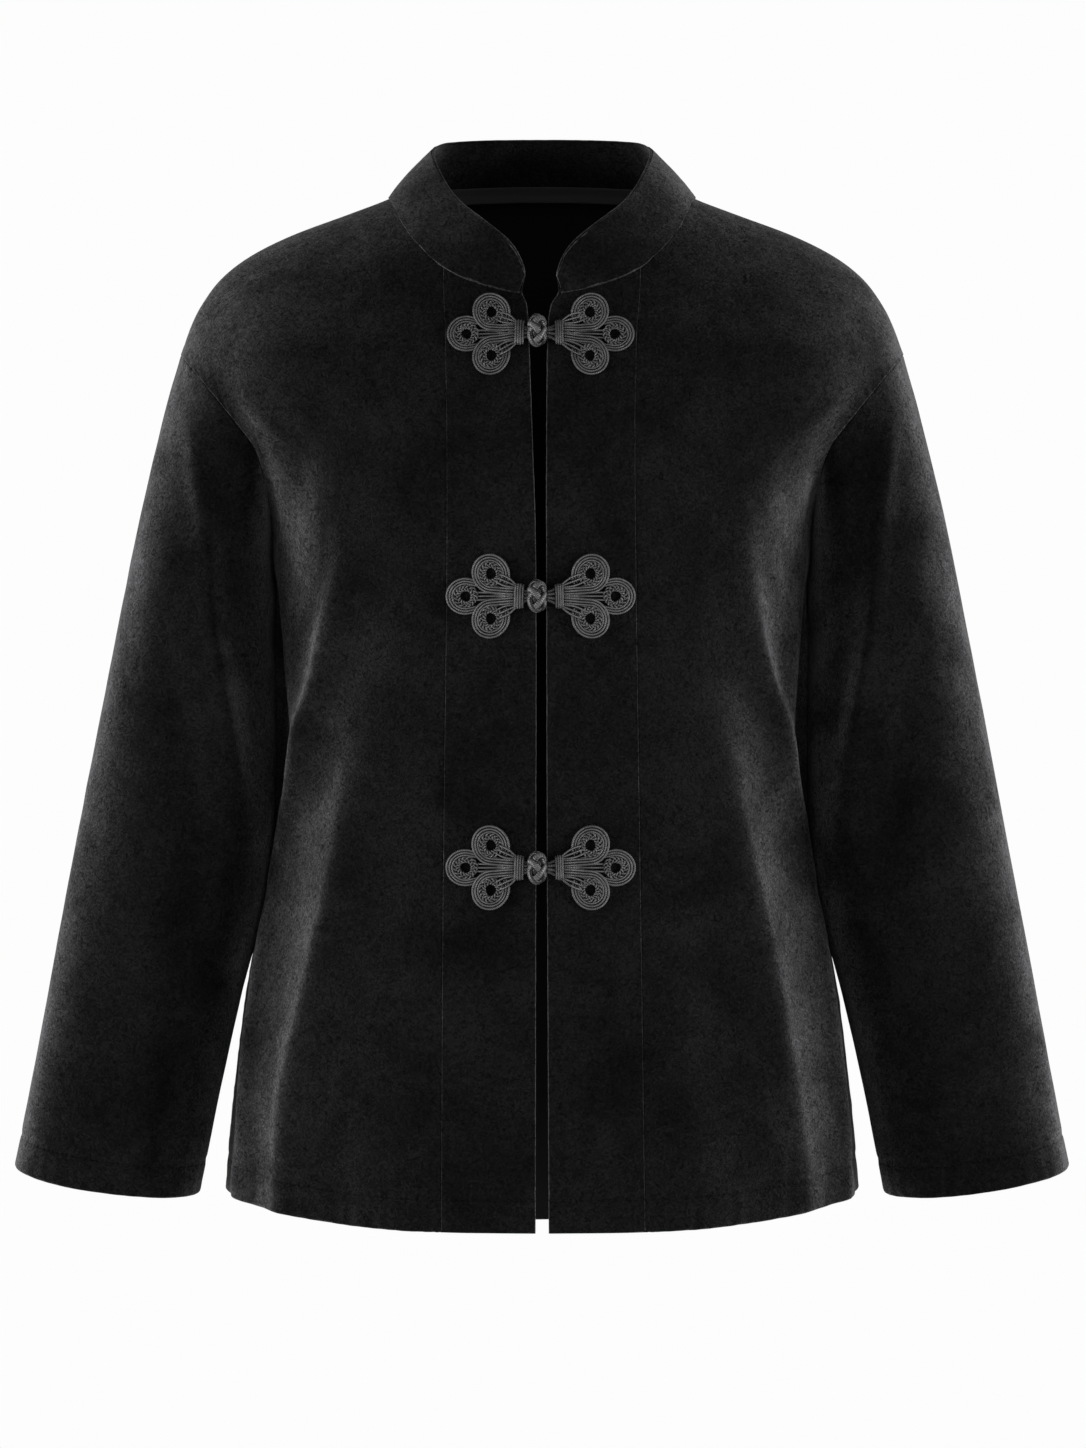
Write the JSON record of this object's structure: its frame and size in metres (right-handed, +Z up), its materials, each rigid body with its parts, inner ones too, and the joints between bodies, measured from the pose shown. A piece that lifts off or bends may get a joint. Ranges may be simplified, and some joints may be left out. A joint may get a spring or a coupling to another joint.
{
  "type": "mandarin collar velvet jacket",
  "caption": "Loose velvet jacket with a stand collar, straight front bands joined by knotted frog closures, drop shoulders and long straight sleeves, in its hollow worn shape.",
  "frame": {"origin": "midway between the two points where the shoulder seams meet the neck, where the jacket hangs on its wearer", "axes": "+Z up, -Y the front of the jacket, +X the wearer's left"},
  "size_m": [0.649, 0.2733, 0.6841],
  "materials": {
    "velvet": "black cotton velvet with a short dense pile and a soft sheen",
    "neck_tape": "black twill tape",
    "satin_cord": "charcoal satin cord, softly shiny"
  },
  "bodies": {
    "root": {"front_right": "velvet", "front_left": "velvet", "band_right": "velvet", "band_left": "velvet", "back": "velvet", "sleeve_right": "velvet", "sleeve_left": "velvet", "collar": "velvet", "back_neck_tape": "neck_tape", "frog_1_right": "satin_cord", "frog_1_left": "satin_cord", "frog_1_knot": "satin_cord", "frog_2_right": "satin_cord", "frog_2_left": "satin_cord", "frog_2_knot": "satin_cord", "frog_3_right": "satin_cord", "frog_3_left": "satin_cord", "frog_3_knot": "satin_cord"}
  },
  "joints": []
}
